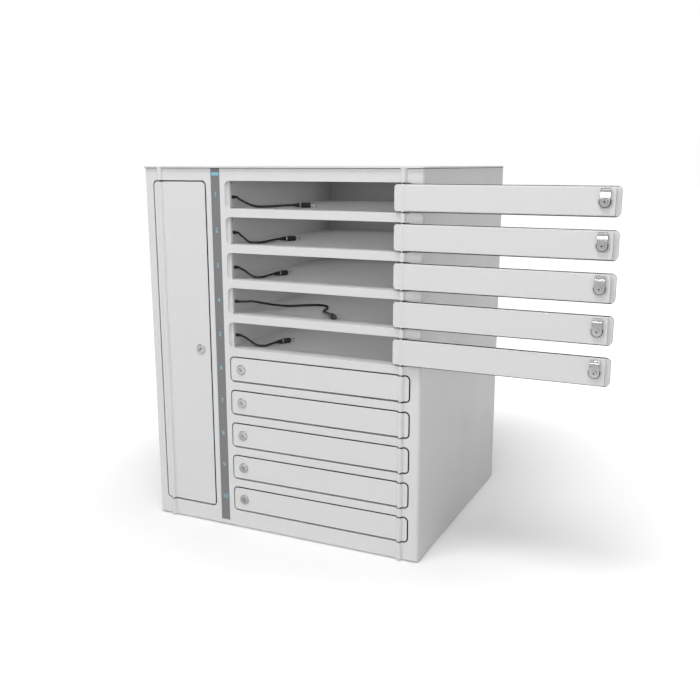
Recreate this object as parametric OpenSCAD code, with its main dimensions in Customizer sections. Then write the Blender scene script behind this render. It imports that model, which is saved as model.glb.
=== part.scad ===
// Laptop charging locker: ten lockable laptop bays beside a tall service bay.
// The top five bay doors stand fully open and lie in front of the right-hand edge; all others are shut.
// Origin: the middle of the base, on the floor. X runs to the right, Y to the back and Z up.

/* [Cabinet] */
// Width of the folded steel shell
shell_w = 650; // [566:1:766]
// Depth of the shell
shell_d = 558; // [530:1:690]
// Height of the shell, from its lower edge to the top face of the top plate
shell_h = 800; // [760:1:940]
// Thickness of the sheet steel
sheet = 1.5; // [1:0.1:2]
// Outside radius of the folded front corners
corner_r = 6.5; // [4:0.5:10]
// Width of the front between a side and the nearest door opening
edge_w = 22; // [20:0.5:27]
// Thickness of the top plate
top_t = 3; // [2:0.5:5]
// Overhang of the top plate at the front
top_front_lip = 4.5; // [2:0.5:10]
// Overhang of the top plate at the sides and the back
top_lip = 1.5; // [1:0.5:6]
// Radius of the top plate's two rear corners
top_rear_r = 4; // [2:0.5:10]
// Width of the folded flanges that carry the rear panel
flange_w = 18; // [15:1:30]
// Height of the plinth that the shell stands on
plinth_h = 4; // [3:0.5:12]
// Distance from the shell's sides to the plinth
plinth_in = 20; // [12:1:30]
// Width of the plinth's bars
plinth_bar = 30; // [24:1:45]
// Radius of the four anchor holes in the base
anchor_r = 4.5; // [3:0.5:7]

/* [Door openings] */
// Width of the service bay's opening
service_w = 137; // [110:1:180]
// Width of the post between the service bay and the laptop bays, which have the rest
post_w = 47; // [44:0.5:60]
// Height of the bar between two bays
bar_h = 17.5; // [16:0.5:24]
// Band above the highest opening, with the top plate
head_band = 29.5; // [24:0.5:45]
// Band below the lowest opening
foot_band = 36.8; // [28:0.2:60]
// Width of the stop behind a door's free edge
stop_w = 7.5; // [6.5:0.1:9]
// Space between a shut door's skin and its stop
stop_gap = 1.5; // [1:0.1:2]

/* [Bays] */
// Depth of a bay, from the front plane to its back wall
bay_d = 510; // [420:1:515]
// Height of the welding flanges under a shelf
shelf_flange = 10; // [6:0.5:14]
// Distance from the front plane to the front edge of the dividing wall
wall_in = 19; // [18.5:0.1:19.5]
// Length of the notch in the dividing wall's front edge, at the top of every bay
notch_l = 16; // [8:0.5:20]
// Depth of that notch below the top of its bay's opening
notch_d = 7.5; // [4:0.5:12]
// Distance from the dividing wall's face to the edge of the bays' openings, which hides it
wall_back = 4; // [3:0.5:6]

/* [Doors] */
// Thickness of a door's outer skin with its hem
skin_t = 5; // [4:0.1:5.2]
// Visible gap around a shut door
door_gap = 2.2; // [1.4:0.1:2.4]
// Radius of a door's corners
door_r = 8.5; // [5:0.1:9]
// Depth of the inner pan behind the skin
pan_d = 8; // [6:0.1:8.4]
// Inset of the pan from the skin's long edges
pan_in = 3; // [2:0.1:5]
// Inset of the pan from the door's free edge
pan_free_in = 8.5; // [7.5:0.1:11]
// Distance from the hinge axis to the pan
pan_hinge_in = 7.5; // [6.5:0.1:12]
// Radius of the pan's corners
pan_r = 3; // [1:0.5:6]
// Thickness of the pan's sheet
pan_t = 1.2; // [0.8:0.1:1.5]

/* [Hinges] */
// Radius of the hinge bead, which is the knuckle of every door and bar
bead_r = 5.8; // [5:0.1:6.2]
// Radius of the hollows that lead from the bead to the flat face beside it
bead_hollow = 3; // [1:0.1:4]
// Radius of a hinge rod
rod_r = 2.5; // [2:0.1:3]
// Running clearance of a knuckle on its rod
rod_fit = 0.05; // [0.02:0.01:0.09]
// Distance from the edge of an opening to the hinge axis
hinge_in = 19.4; // [18:0.1:20.4]
// Distance from the front plane forward to the hinge axis
hinge_out = 0.4; // [0.3:0.1:0.8]

/* [Locks] */
// Distance from the edge of an opening to its lock
lock_in = 28; // [26.5:0.1:28.5]
// Radius of the lock's chrome rim
rim_r = 11.2; // [10:0.1:12]
// Height of the rim in front of the door
rim_h = 2.6; // [1.5:0.1:4]
// Radius of the lock's threaded body
lock_r = 9; // [8:0.1:9.5]
// Radius of the turning core
core_r = 6; // [5:0.1:7]
// Running clearance of the core in its body
core_fit = 0.05; // [0.02:0.01:0.09]
// Width of the nut across its flats
nut_af = 22; // [20:0.5:24]
// Thickness of the nut
nut_t = 3; // [2:0.1:3.2]
// Width of the cam
cam_w = 18; // [14:0.5:19]
// Reach of the cam from the lock's axis
cam_reach = 24; // [23.5:0.1:24.5]
// Thickness of the cam
cam_t = 2; // [1.5:0.1:2.2]
// Distance from the lock's axis to the bend in the cam
cam_bend = 15.2; // [15:0.1:16]
// Width of the key slot
key_w = 1.8; // [1.2:0.1:2.4]
// Length of the key slot
key_l = 7.6; // [6:0.1:9]

/* [Indicator strip] */
// Width of the strip
strip_w = 22; // [16:0.5:26]
// Thickness of the strip
strip_t = 1.2; // [0.8:0.1:1.8]
// Depth of the channel that the strip lies in
strip_in = 2; // [1.9:0.1:3]
// Height of the channel's lower end above the shell's lower edge
strip_foot = 9; // [4:0.5:20]

/* [Cable outlets and leads] */
// Height of a cable outlet above its shelf
outlet_up = 22.9; // [20:0.1:28]
// Distance from the front plane to the outlets
outlet_in = 36; // [34:0.5:44]
// Radius of an outlet's hole
outlet_r = 3.8; // [3.7:0.1:5]
// Width of a grommet's collar beyond its hole
collar_w = 1.5; // [1:0.1:2]
// Wall of an open grommet
grommet_wall = 0.6; // [0.5:0.1:1]
// Length of the nose on a grommet that holds a lead
nose_l = 8; // [6:0.5:16]
// Diameter of a charging lead
lead_d = 5; // [4:0.1:5.4]
// Radius of a plug's grip
grip_r = 5.5; // [4.5:0.1:6]
// Length of a plug's bend relief
relief_l = 15; // [8:0.5:20]
// Length of the pale ring between a plug's bend relief and its grip
ring_l = 2.5; // [1.5:0.1:4]
// Length of a plug's grip
grip_l = 20; // [12:0.5:26]
// Length of a plug's metal barrel
barrel_l = 12; // [7:0.5:14]
// Radius of a plug's metal barrel
barrel_r = 2.75; // [2:0.05:3]

/* [Power supply] */
// Depth of the socket strip, away from the dividing wall
strip_box_d = 44; // [30:1:60]
// Width of the socket strip
strip_box_w = 60; // [46:1:80]
// Distance from the front plane to the middle of the socket strip
strip_box_in = 165; // [140:1:220]
// Side of a plug-in adapter
adapter_side = 58; // [46:1:66]
// Thickness of a plug-in adapter
adapter_t = 30; // [22:1:40]
// Bend radius of an adapter's lead
adapter_bend = 15; // [12:1:22]
// Height of the mains inlet above the floor
inlet_z = 62; // [45:1:120]
// Distance from the shell's left side to the mains inlet
inlet_in = 82; // [60:1:120]

/* [Hidden] */
$fn = 48;

// Colours, as the photo shows them
paint = "#d9d9d9";
strip_grey = "#8a8b8d";
chrome = "#c9cbce";
zinc = "#b4b6b9";
black = "#1c1c1e";
dark_grey = "#46484b";

bays = 10;        // number of laptop bays
open_bays = 5;    // bays whose doors stand open, counted from the top
cut = 1;          // overrun of every cut

// Planes of the shell
front_y = -shell_d / 2;
rear_y = shell_d / 2;
side_x = shell_w / 2;
shell_z = plinth_h;
roof_z = plinth_h + shell_h - top_t;
jamb_d = skin_t + stop_gap + sheet;     // depth of the folded edge round every opening
fillet_r = door_r + door_gap;           // radius in the corners of every opening

// Openings, counted from the top
mouth_r_x = side_x - edge_w;
service_l_x = -side_x + edge_w;
service_r_x = service_l_x + service_w;
mouth_l_x = service_r_x + post_w;
mouth_w = mouth_r_x - mouth_l_x;
mouth_h = (shell_h - head_band - foot_band - (bays - 1) * bar_h) / bays;
function mouth_z(i) = shell_z + foot_band + (bays - i) * (mouth_h + bar_h);
mouths_top_z = mouth_z(1) + mouth_h;
service_h = mouths_top_z - mouth_z(bays);

// Doors and hinges
door_t = skin_t + pan_d;
leaf_h = mouth_h - 2 * door_gap;
service_leaf_h = service_h - 2 * door_gap;
pivot_y = front_y - hinge_out;
bay_pivot_x = mouth_r_x - hinge_in;
service_pivot_x = service_l_x + hinge_in;
bore_r = rod_r + rod_fit;

// Locks, measured inwards from the front face of a door
body_fit = 0.2;                         // clearance of the lock's body in the door
cam_rest = 1;                           // space between the nut and the cam
nut_r = nut_af / sqrt(3);
cam_z = door_t + nut_t + cam_rest;      // near face of the cam's flat part
tip_lift = 0.5;                         // space between the door's pan and the cam's tip
tip_z = door_t + tip_lift;
catch_play = 0.3;                       // play between the cam's tip and its catch
catch_d = tip_z - catch_play;           // how far the catch reaches back from the front plane
bolt_r = 5;
bolt_h = 3.2;
core_in = 0.5;                          // how far the core sits below the rim

// Inner walls
stop_l_x = service_r_x - stop_w;
stop_r_x = mouth_l_x + stop_w;
wall_x = mouth_l_x - wall_back;
inner_x = side_x - sheet;
bay_back_y = front_y + bay_d;
panel_y = rear_y - 2 * sheet;           // inner face of the rear panel
floor_t = sheet;
behind_corner_y = front_y + wall_in + sheet;    // where floor and shelves widen to the shell's sides

// Outlets and leads
outlet_y = front_y + outlet_in;
function outlet_z(i) = mouth_z(i) + outlet_up;
collar_r = outlet_r + collar_w;
collar_t = 1.5;
sleeve_fit = 0.1;
sleeve_out = 1;                         // how far a grommet stands out of the wall into its bay
nose_r1 = outlet_r - sleeve_fit;
nose_r2 = lead_d / 2 + 0.2;

// Power supply
strip_box_x = wall_x - sheet;           // face of the wall that carries the socket strip
strip_box_y = front_y + strip_box_in;
socket_x = strip_box_x - strip_box_d;
strip_end = 45;                         // from the last socket to the strip's end
adapter_lead_x = socket_x - adapter_t / 2;

// Route of each charging lead from the nose of its grommet: the offset of each point from the dividing
// wall's face, the front plane and the shelf, and last the heading of the plug in degrees
lead_start = [sleeve_out + nose_l, outlet_in, outlet_up];
lead_routes = [
    [lead_start, [17.9, 37, 17.4], [29, 40, 11.9], [38.4, 46, 6.8], [44.6, 54, 3.8], [50.7, 62, 2.6],
     [59.7, 69, 2.6], [73.2, 76, 3], [82.9, 82, 3.8], [96.9, 87, 4.7], [115.8, 91.7, 5.6]],
    [lead_start, [16, 37, 18.3], [23.4, 39, 12.2], [30.4, 42, 5.6], [38, 41.5, 2.7],
     [48, 40.5, 2.6], [56.5, 44.5, 2.6], [60.6, 55, 2.6], [61.2, 72, 3], [61.1, 90, 3.6],
     [64.5, 102, 4.6], [69.5, 112, 5.6]],
    [lead_start, [16.4, 37, 19.8], [24.5, 38.5, 15.7], [31.9, 40.5, 10], [39.4, 43, 4.9],
     [48.8, 43.5, 2.6], [57.2, 49, 2.6], [61.8, 60, 3.3], [64.4, 75, 4.6], [67.5, 88.9, 5.6]],
    [lead_start, [24.3, 40, 23.4], [34.1, 46, 23.6], [42.1, 55, 21.5], [48.9, 66, 18.2],
     [54.4, 80, 14.6], [59.1, 95, 10.7], [63, 112, 7.3], [69.5, 128, 4.1], [79.9, 140.5, 2.6],
     [93.1, 151.9, 2.6], [106.7, 163, 2.6], [121, 173.4, 2.6], [137.2, 178.3, 2.6],
     [152.5, 173.5, 2.6], [165, 157.5, 2.6], [172.6, 136.5, 2.6], [177.3, 117.5, 2.6],
     [183.5, 103, 3.4], [191.8, 90.2, 4.3], [202.8, 77.8, 5.2], [215.2, 65.4, 5.6]],
    [lead_start, [17.3, 37, 20.2], [25.5, 38.5, 16], [33.1, 40.5, 10.6], [41.3, 41.5, 5.6],
     [50.8, 41, 2.6], [60.6, 41.3, 2.6], [68.4, 47, 2.6], [72.9, 57, 4], [76.1, 68, 5],
     [78.2, 75.5, 5.6]]];
plug_headings = [28, 50, 70, -48, 67];

module side_panel_left() { color(paint) side_panel(-1, service_l_x) service_mouth(); }
module side_panel_right() { color(paint) side_panel(1, mouth_r_x) bay_mouths(); }
module centre_stile() { color(paint) stile(); }
module front_rails() { color(paint) rails(); }
module top_plate() { color(paint) translate([0, 0, roof_z]) linear_extrude(top_t) top_outline(); }
module base_frame() { color(paint) base(); }
module rear_panel() { color(paint) back_panel(); }
module divider_wall() { color(paint) dividing_wall(); }
module bay_back_wall() { color(paint) inner_back(); }
module shelves() { color(paint) for (i = [1:bays]) translate([0, 0, mouth_z(i)]) shelf(); }
module indicator_strip() { color(strip_grey) strip(); }
module hinge_rods() { color(zinc) for (x = [bay_pivot_x, service_pivot_x]) rod(x); }
module cable_grommets() {
    color(black) for (i = [1:bays]) translate([wall_x, outlet_y, outlet_z(i)]) rotate([0, 90, 0])
        grommet(i <= open_bays);
}
module power_strip() { color(dark_grey) socket_strip(); }
module mains_inlet() { color(black) inlet(); }
module power_adapters() { color(black) for (i = [1:open_bays]) adapter(outlet_z(i)); }
module panel_screws() { color(zinc) screw_places() screw(); }
module door_panel(i) { color(paint) at_door(i) leaf(mouth_w, leaf_h); }
module lock_barrel(i) { color(chrome) at_door(i) at_lock(mouth_w, leaf_h) barrel(); }
module lock_cam(i) { color(zinc) at_door(i) at_lock(mouth_w, leaf_h) cam(); }
module service_door() { color(paint) at_service() leaf(service_w, service_leaf_h); }
module service_lock_barrel() { color(chrome) at_service() at_lock(service_w, service_leaf_h) barrel(); }
module service_lock_cam() { color(zinc) at_service() at_lock(service_w, service_leaf_h) cam(); }
module charging_lead(i) { color(black) at_route(i) tube(lead_routes[i - 1], plug_headings[i - 1]); }
module lead_plug(i) {
    route = lead_routes[i - 1];
    color(black) at_route(i) translate(route[len(route) - 1])
        rotate([0, 0, plug_headings[i - 1]]) rotate([0, 90, 0]) plug();
}

// A plate of thickness t behind the plane at y, cut from an outline in X and Z
module plate_xz(y, t) {
    translate([0, y + t, 0]) rotate([90, 0, 0]) linear_extrude(t) children();
}

// A rectangle with round corners and its lower left corner at the origin
module round_rect(w, h, r) {
    translate([r, 0]) square([w - 2 * r, h]);
    translate([0, r]) square([w, h - 2 * r]);
    for (x = [r, w - r], y = [r, h - r]) translate([x, y]) circle(r);
}

// Outlines of the openings in the front
module bay_mouths() {
    for (i = [1:bays]) translate([mouth_l_x, mouth_z(i)]) round_rect(mouth_w, mouth_h, fillet_r);
}
module service_mouth() {
    translate([service_l_x, mouth_z(bays)]) round_rect(service_w, service_h, fillet_r);
}

// The solid edge between a post and the bars, with the round corners of the openings
module corner_column(x0) {
    plate_xz(front_y, jamb_d) difference() {
        translate([x0, shell_z]) square([fillet_r, roof_z - shell_z]);
        children();
    }
}

// One side of the shell: wall, round front corner, folded opening edge and rear flange
module side_panel(side, edge_x) {
    difference() {
        translate([0, 0, shell_z]) linear_extrude(roof_z - shell_z) mirror([side < 0 ? 1 : 0, 0]) {
            translate([inner_x, front_y + corner_r]) square([sheet, shell_d - corner_r]);
            translate([side_x - flange_w, rear_y - sheet]) square([flange_w, sheet]);
            translate([side_x - corner_r, front_y + corner_r]) intersection() {
                difference() {
                    circle(corner_r, $fn = 96);
                    circle(corner_r - sheet, $fn = 96);
                }
                translate([0, -corner_r]) square(corner_r);
            }
            translate([side_x - edge_w, front_y]) square([edge_w - corner_r, sheet]);
            translate([side_x - edge_w, front_y + sheet / 2]) square([sheet, jamb_d - sheet / 2]);
        }
        screw_places() screw_hole();
    }
    corner_column(side > 0 ? edge_x - fillet_r : edge_x) children();
}

// The post between the service bay and the laptop bays, with the strip's channel and the door stops
module stile() {
    h = roof_z - shell_z;
    mid_x = (service_r_x + mouth_l_x) / 2;
    channel_l = mid_x - strip_w / 2;
    channel_r = mid_x + strip_w / 2;
    translate([0, 0, shell_z]) difference() {
        union() {
            // face and channel
            translate([service_r_x, front_y, 0]) cube([mouth_l_x - service_r_x, sheet, h]);
            translate([channel_l - sheet, front_y, 0])
                cube([strip_w + 2 * sheet, strip_in + sheet, h]);
            // folded edges, stops and the catches behind which the cams turn
            for (x = [service_r_x, mouth_l_x - sheet]) translate([x, front_y, 0])
                cube([sheet, jamb_d, h]);
            for (x = [stop_l_x, mouth_l_x - sheet]) translate([x, front_y + jamb_d - sheet, 0])
                cube([stop_w + sheet, sheet, h]);
            for (x = [stop_l_x, stop_r_x - sheet]) translate([x, front_y + jamb_d - sheet, 0])
                cube([sheet, catch_d - jamb_d + sheet, h]);
        }
        translate([channel_l, front_y - cut, strip_foot]) cube([strip_w, strip_in + cut, h]);
    }
    corner_column(mouth_l_x) bay_mouths();
    corner_column(service_r_x - fillet_r) service_mouth();
}

// The hinge bead's outline: a circle round the hinge axis, led into the flat face behind it
module bead_outline() {
    y = hinge_out - bead_hollow;
    x = sqrt(pow(bead_r + bead_hollow, 2) - pow(y, 2));
    y0 = y * bead_r / (bead_r + bead_hollow);
    circle(bead_r);
    difference() {
        translate([-x, y0]) square([2 * x, hinge_out + sheet / 2 - y0]);
        for (s = [-x, x]) translate([s, y]) circle(bead_hollow);
    }
}

// One bar of the front: a channel section with the bead that holds the hinge rod
module bar(x0, x1, z0, z1, bead_x) {
    difference() {
        union() {
            translate([x0, front_y, z0]) cube([x1 - x0, sheet, z1 - z0]);
            for (z = [z0, z1 - sheet]) translate([x0, front_y, z]) cube([x1 - x0, jamb_d, sheet]);
            translate([bead_x, pivot_y, z0]) linear_extrude(z1 - z0) bead_outline();
        }
        translate([bead_x, pivot_y, z0 - cut]) cylinder(h = z1 - z0 + 2 * cut, r = bore_r);
    }
}
module rails() {
    l = mouth_l_x + fillet_r;
    r = mouth_r_x - fillet_r;
    bar(l, r, shell_z, mouth_z(bays), bay_pivot_x);
    for (i = [1:bays - 1]) bar(l, r, mouth_z(i) - bar_h, mouth_z(i), bay_pivot_x);
    bar(l, r, mouths_top_z, roof_z, bay_pivot_x);
    sl = service_l_x + fillet_r;
    sr = service_r_x - fillet_r;
    bar(sl, sr, shell_z, mouth_z(bays), service_pivot_x);
    bar(sl, sr, mouths_top_z, roof_z, service_pivot_x);
}

module top_outline() {
    w = shell_w + 2 * top_lip;
    r = corner_r + top_lip;
    y0 = front_y - top_front_lip;
    y1 = rear_y + top_lip;
    for (s = [-1, 1]) {
        translate([s * (w / 2 - r), y0 + r]) circle(r, $fn = 96);
        translate([s * (w / 2 - top_rear_r), y1 - top_rear_r]) circle(top_rear_r);
    }
    translate([r - w / 2, y0]) square([w - 2 * r, y1 - top_rear_r - y0]);
    translate([-w / 2, y0 + r]) square([w, y1 - top_rear_r - y0 - r]);
    translate([top_rear_r - w / 2, y0 + r]) square([w - 2 * top_rear_r, y1 - y0 - r]);
}

floor_in = catch_d + catch_play;    // from the front plane to the floor's front edge
// Floor sheet on a plinth of flat bars, with a middle bar and four anchor holes
module base() {
    w = shell_w - 2 * plinth_in;
    d = shell_d - 2 * plinth_in;
    difference() {
        union() {
            translate([-inner_x, behind_corner_y, plinth_h])
                cube([2 * inner_x, panel_y - behind_corner_y, floor_t]);
            translate([service_l_x, front_y + floor_in, plinth_h])
                cube([mouth_r_x - service_l_x, behind_corner_y - front_y - floor_in + cut, floor_t]);
            difference() {
                translate([-w / 2, -d / 2, 0]) cube([w, d, plinth_h]);
                translate([plinth_bar - w / 2, plinth_bar - d / 2, -cut])
                    cube([w - 2 * plinth_bar, d - 2 * plinth_bar, plinth_h + 2 * cut]);
            }
            translate([plinth_bar - w / 2 - cut, -plinth_bar, 0])
                cube([w - 2 * plinth_bar + 2 * cut, 2 * plinth_bar, plinth_h]);
        }
        for (x = [-1, 1], y = [-1, 1])
            translate([x * (w - plinth_bar) / 2, y * (d - plinth_bar) / 2, -cut])
                cylinder(h = plinth_h + floor_t + 2 * cut, r = anchor_r);
    }
}

// Louvres: rows of slots with round ends
slot_w = 6;
slot_l = 70;
slot_pitch = 16;
slot_rows = 8;
slot_head = 129;    // from the shell's top to the highest row
slot_side = 112;    // from the shell's sides to the middle of the outer rows
module louvres() {
    x1 = side_x - slot_side;
    z1 = roof_z - slot_head;
    for (x = [-x1, 0, x1], k = [0:slot_rows - 1]) translate([x, z1 - k * slot_pitch]) {
        square([slot_l - slot_w, slot_w], center = true);
        for (s = [-1, 1]) translate([s * (slot_l - slot_w) / 2, 0]) circle(slot_w / 2);
    }
}
panel_fit = 0.5;
screw_rows = 5;
screw_r = 1.9;
screw_l = 9;
screw_hole_r = 2.1;
screw_head_r = 4;
screw_head_h = 2.4;
screw_end = 40;           // from the rear panel's ends to the last screws
inlet_x = -side_x + inlet_in;
inlet_body = [28, 20];    // size of the inlet's body in X and Z
inlet_depth = 22;
inlet_fit = 0.3;

module screw_places() {
    span = roof_z - shell_z - 2 * screw_end;
    for (s = [-1, 1], k = [0:screw_rows - 1])
        translate([s * (side_x - flange_w / 2), rear_y, shell_z + screw_end + k * span / (screw_rows - 1)])
            rotate([90, 0, 0]) children();
}
module screw() {
    translate([0, 0, -screw_head_h]) cylinder(h = screw_head_h, r1 = screw_head_r * 0.8, r2 = screw_head_r);
    cylinder(h = screw_l, r = screw_r);
}
module screw_hole() { translate([0, 0, -cut]) cylinder(h = screw_l, r = screw_hole_r); }
module back_panel() {
    w = 2 * (inner_x - panel_fit);
    difference() {
        plate_xz(panel_y, sheet) difference() {
            translate([-w / 2, shell_z + floor_t]) square([w, roof_z - shell_z - floor_t]);
            louvres();
            translate([inlet_x, inlet_z])
                square([inlet_body[0] + 2 * inlet_fit, inlet_body[1] + 2 * inlet_fit], center = true);
        }
        screw_places() screw_hole();
    }
}

notch_over = 3;           // how far a notch runs on above its opening, behind the bar
module dividing_wall() {
    difference() {
        translate([wall_x - sheet, front_y + wall_in, shell_z + floor_t])
            cube([sheet, panel_y - front_y - wall_in, roof_z - shell_z - floor_t]);
        for (i = [1:bays]) translate([wall_x - sheet - cut, outlet_y, outlet_z(i)])
            rotate([0, 90, 0]) cylinder(h = sheet + 2 * cut, r = outlet_r);
        for (i = [1:bays]) translate([wall_x - sheet - cut, front_y + wall_in - cut,
                mouth_z(i) + mouth_h - notch_d])
            cube([sheet + 2 * cut, notch_l + cut, notch_d + notch_over]);
    }
}
module inner_back() {
    translate([wall_x, bay_back_y, shell_z + floor_t])
        cube([inner_x - wall_x, sheet, roof_z - shell_z - floor_t]);
}

// A shelf, with its top face level with the lower edge of its opening
module shelf() {
    y0 = front_y + jamb_d;
    y1 = front_y + wall_in;
    translate([0, 0, -sheet]) linear_extrude(sheet) polygon([
        [stop_r_x, y0], [mouth_r_x - sheet, y0], [mouth_r_x - sheet, behind_corner_y],
        [inner_x, behind_corner_y], [inner_x, bay_back_y], [wall_x, bay_back_y],
        [wall_x, y1], [stop_r_x, y1]]);
    for (x = [wall_x, inner_x - sheet]) translate([x, behind_corner_y, -shelf_flange])
        cube([sheet, bay_back_y - behind_corner_y, shelf_flange - sheet / 2]);
    translate([wall_x, bay_back_y - sheet, -shelf_flange])
        cube([inner_x - wall_x, sheet, shelf_flange - sheet / 2]);
}

strip_fit = 0.2;
module strip() {
    z0 = shell_z + strip_foot + strip_fit;
    translate([(service_r_x + mouth_l_x - strip_w) / 2 + strip_fit, front_y + strip_in - strip_t, z0])
        cube([strip_w - 2 * strip_fit, strip_t, roof_z - strip_fit - z0]);
}
rod_in = 1;
module rod(x) {
    translate([x, pivot_y, shell_z + rod_in]) cylinder(h = roof_z - shell_z - 2 * rod_in, r = rod_r);
}

// A rubber grommet, along Z, pushed into the dividing wall from the service bay; one that holds a lead
// is closed and has a nose
module grommet(with_lead) {
    sleeve_r = outlet_r - sleeve_fit;
    difference() {
        union() {
            translate([0, 0, -sheet - collar_t]) cylinder(h = collar_t, r = collar_r);
            translate([0, 0, -sheet - collar_t / 2]) cylinder(h = sheet + collar_t / 2 + sleeve_out, r = sleeve_r);
            if (with_lead) translate([0, 0, sleeve_out]) cylinder(h = nose_l, r1 = nose_r1, r2 = nose_r2);
        }
        if (!with_lead) translate([0, 0, -sheet - collar_t - cut])
            cylinder(h = sheet + collar_t + sleeve_out + 2 * cut, r = sleeve_r - grommet_wall);
    }
}

// The socket strip on the dividing wall, with one two-pin socket for each bay
socket_side = 42;
socket_in = 1.2;
socket_ring = 3;
strip_edge_r = 5;
pin_slot = [2.4, 8, 14];
pin_pitch = 12.7;
module socket_strip() {
    z0 = outlet_z(bays) - strip_end;
    z1 = outlet_z(1) + strip_end;
    edge = strip_edge_r;
    difference() {
        translate([socket_x, strip_box_y - strip_box_w / 2, z0]) linear_extrude(z1 - z0) {
            translate([edge, 0]) square([strip_box_d - edge, strip_box_w]);
            translate([0, edge]) square([edge + cut, strip_box_w - 2 * edge]);
            for (y = [edge, strip_box_w - edge]) translate([edge, y]) circle(edge);
        }
        for (i = [1:bays], s = [-1, 1])
            translate([socket_x + pin_slot[2] / 2 - cut, strip_box_y + s * pin_pitch / 2, outlet_z(i)])
                cube([pin_slot[2], pin_slot[0], pin_slot[1]], center = true);
        for (i = [open_bays + 1:bays]) translate([socket_x - cut, strip_box_y, outlet_z(i)])
            rotate([0, 90, 0]) difference() {
                cylinder(h = socket_in + cut, r = socket_side / 2);
                cylinder(h = socket_in + cut, r = socket_side / 2 - socket_ring);
            }
    }
}

// A plug-in adapter on its socket, with its lead clipped round to the grommet
adapter_r = 6;
module adapter(z) {
    y1 = strip_box_y - adapter_side / 2;
    bend_y = outlet_y + adapter_bend;
    end_x = wall_x - sheet - collar_t;
    translate([socket_x - adapter_t, y1, z - adapter_side / 2]) translate([adapter_t, 0, 0])
        rotate([0, -90, 0]) linear_extrude(adapter_t) round_rect(adapter_side, adapter_side, adapter_r);
    translate([adapter_lead_x, y1, z]) rotate([90, 0, 0]) {
        cylinder(h = relief_l, r1 = nose_r1, r2 = nose_r2);
        cylinder(h = y1 - bend_y, r = lead_d / 2);
    }
    translate([adapter_lead_x + adapter_bend, bend_y, z]) rotate([0, 0, 180])
        rotate_extrude(angle = 90, $fn = 96) translate([adapter_bend, 0]) circle(lead_d / 2, $fn = 32);
    translate([adapter_lead_x + adapter_bend, outlet_y, z]) rotate([0, 90, 0])
        cylinder(h = end_x - adapter_lead_x - adapter_bend, r = lead_d / 2);
}

// Mains inlet in the rear panel: a flanged body with a keyed recess and three flat pins
inlet_flange = [50, 30, 3];
inlet_recess = [24.4, 16.4, 17];
inlet_key = 4.5;
inlet_pin = [2, 4];
inlet_pin_l = 11;
inlet_pin_x = 7;
inlet_pin_drop = 2;
inlet_r = 4;
module inlet() {
    flange_y = rear_y - sheet;
    face_y = flange_y + inlet_flange[2];
    translate([inlet_x, 0, inlet_z]) {
        difference() {
            union() {
                plate_xz(flange_y, inlet_flange[2]) translate([-inlet_flange[0] / 2, -inlet_flange[1] / 2])
                    round_rect(inlet_flange[0], inlet_flange[1], inlet_r);
                translate([-inlet_body[0] / 2, flange_y - inlet_depth, -inlet_body[1] / 2])
                    cube([inlet_body[0], inlet_depth + cut, inlet_body[1]]);
            }
            plate_xz(face_y - inlet_recess[2], inlet_recess[2] + cut) difference() {
                square([inlet_recess[0], inlet_recess[1]], center = true);
                for (s = [-1, 1]) translate([s * inlet_recess[0] / 2, inlet_recess[1] / 2])
                    rotate(45) square(inlet_key, center = true);
            }
        }
        for (k = [-1, 0, 1]) translate([k * inlet_pin_x - inlet_pin[0] / 2,
                face_y - inlet_recess[2] - cut,
                (k == 0 ? inlet_pin_drop : -inlet_pin_drop) - inlet_pin[1] / 2])
            cube([inlet_pin[0], inlet_pin_l + cut, inlet_pin[1]]);
    }
}

// Places of the doors: the hinge axis stands at the origin, with the free edge towards -X when shut
module at_door(i) {
    translate([bay_pivot_x, pivot_y, mouth_z(i) + door_gap]) rotate([0, 0, i <= open_bays ? 180 : 0]) children();
}
module at_service() {
    translate([service_pivot_x, pivot_y, mouth_z(bays) + door_gap]) mirror([1, 0, 0]) children();
}

// A door: hemmed outer skin, hinge knuckle with its tail, and a welded pan that hides the lock's body
module leaf(span, h) {
    free_x = -(span - hinge_in - door_gap);
    tail_x = hinge_in - door_gap;
    pan_x = free_x + pan_free_in;
    pan_w = -pan_hinge_in - pan_x;
    pan_h = h - 2 * pan_in;
    back_y = hinge_out + skin_t;
    difference() {
        union() {
            plate_xz(hinge_out, skin_t) translate([free_x, 0]) round_rect(tail_x - free_x, h, door_r);
            linear_extrude(h) bead_outline();
            difference() {
                plate_xz(back_y - pan_t, pan_d + pan_t)
                    translate([pan_x, pan_in]) round_rect(pan_w, pan_h, pan_r);
                plate_xz(back_y - 2 * pan_t, pan_d + pan_t)
                    translate([pan_x + pan_t, pan_in + pan_t])
                        round_rect(pan_w - 2 * pan_t, pan_h - 2 * pan_t, max(pan_r - pan_t, pan_t / 2));
            }
        }
        translate([0, 0, -cut]) cylinder(h = h + 2 * cut, r = bore_r);
        at_lock(span, h) translate([0, 0, -cut]) cylinder(h = door_t + 2 * cut, r = lock_r + body_fit);
    }
}

// A lock's place: Z runs into the cabinet from the door's face, and -Y points up
module at_lock(span, h) {
    translate([lock_in - (span - hinge_in), hinge_out, h / 2]) rotate([-90, 0, 0]) children();
}

// The fixed part of a cam lock: domed rim, threaded body and nut
rim_edge = 1;
module barrel() {
    end = cam_z - cam_rest / 2;
    difference() {
        union() {
            rotate_extrude($fn = 96) polygon([[0, 0], [rim_r, 0], [rim_r, -rim_edge],
                [rim_r * 0.9, -rim_h * 0.8], [rim_r * 0.75, -rim_h], [0, -rim_h]]);
            translate([0, 0, -rim_edge / 2]) cylinder(h = end + rim_edge / 2, r = lock_r);
            translate([0, 0, door_t]) cylinder(h = nut_t, r = nut_r, $fn = 6);
        }
        translate([0, 0, -rim_h - cut]) cylinder(h = end + rim_h + 2 * cut, r = core_r + core_fit);
    }
}

cam_corner = 3;
cam_seat = 0.05;    // hairline between the core, the cam and the bolt, which are screwed together
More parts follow.
